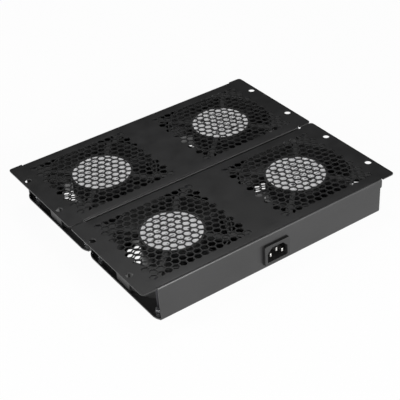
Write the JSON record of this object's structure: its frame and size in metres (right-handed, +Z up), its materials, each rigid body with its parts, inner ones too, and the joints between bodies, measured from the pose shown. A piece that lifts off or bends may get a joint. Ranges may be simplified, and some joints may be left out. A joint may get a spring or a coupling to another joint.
{
  "type": "rack fan tray",
  "caption": "Flat black sheet-metal fan unit for a network cabinet: two joined modules with axial fans blowing up through hexagon-perforated lids, and a mains inlet in the front wall.",
  "frame": {"origin": "centre of the unit's bounding box at the height of its underside", "axes": "+X along the long sides to the right seen from the front, +Y from the front wall with the inlet to the back, +Z up, the way the air leaves"},
  "size_m": [0.306, 0.2666, 0.041],
  "materials": {
    "lid_powder_coat": "satin black powder coat",
    "tray_powder_coat": "satin black powder coat",
    "fan_casting": "black cast aluminium",
    "stator_steel": "laminated steel with varnished windings",
    "hub_label": "white film label",
    "bearing_steel": "polished steel",
    "zinc_fasteners": "zinc plated steel",
    "inlet_plastic": "black moulded plastic",
    "nickel_pins": "nickel plated brass",
    "bushing_rubber": "black rubber",
    "rotor_steel": "turned steel",
    "impeller_plastic": "black moulded plastic"
  },
  "bodies": {
    "housing": {"front_top_plate": "lid_powder_coat", "rear_top_plate": "lid_powder_coat", "front_lower_tray": "tray_powder_coat", "rear_lower_tray": "tray_powder_coat", "front_left_fan_frame": "fan_casting", "front_left_motor_stator": "stator_steel", "front_left_hub_label": "hub_label", "front_right_fan_frame": "fan_casting", "front_right_motor_stator": "stator_steel", "front_right_hub_label": "hub_label", "rear_left_fan_frame": "fan_casting", "rear_left_motor_stator": "stator_steel", "rear_left_hub_label": "hub_label", "rear_right_fan_frame": "fan_casting", "rear_right_motor_stator": "stator_steel", "rear_right_hub_label": "hub_label", "front_bearings": "bearing_steel", "front_fan_bolts": "zinc_fasteners", "front_bolt_nuts": "zinc_fasteners", "rear_bearings": "bearing_steel", "rear_fan_bolts": "zinc_fasteners", "rear_bolt_nuts": "zinc_fasteners", "inlet_body": "inlet_plastic", "inlet_pins": "nickel_pins", "link_screws": "zinc_fasteners", "link_spacers": "zinc_fasteners", "link_nuts": "zinc_fasteners", "link_bushing": "bushing_rubber"},
    "front_left_rotor_body": {"front_left_rotor": "rotor_steel", "front_left_impeller": "impeller_plastic"},
    "front_right_rotor_body": {"front_right_rotor": "rotor_steel", "front_right_impeller": "impeller_plastic"},
    "rear_left_rotor_body": {"rear_left_rotor": "rotor_steel", "rear_left_impeller": "impeller_plastic"},
    "rear_right_rotor_body": {"rear_right_rotor": "rotor_steel", "rear_right_impeller": "impeller_plastic"}
  },
  "joints": [
    {"name": "front_left_spin", "type": "hinge", "parent": "housing", "child": "front_left_rotor_body", "pos_m": [-0.077, -0.0654, 0.02], "axis": [0, 0, -1], "continuous": true},
    {"name": "front_right_spin", "type": "hinge", "parent": "housing", "child": "front_right_rotor_body", "pos_m": [0.077, -0.0654, 0.02], "axis": [0, 0, -1], "continuous": true},
    {"name": "rear_left_spin", "type": "hinge", "parent": "housing", "child": "rear_left_rotor_body", "pos_m": [-0.077, 0.0676, 0.02], "axis": [0, 0, -1], "continuous": true},
    {"name": "rear_right_spin", "type": "hinge", "parent": "housing", "child": "rear_right_rotor_body", "pos_m": [0.077, 0.0676, 0.02], "axis": [0, 0, -1], "continuous": true}
  ]
}
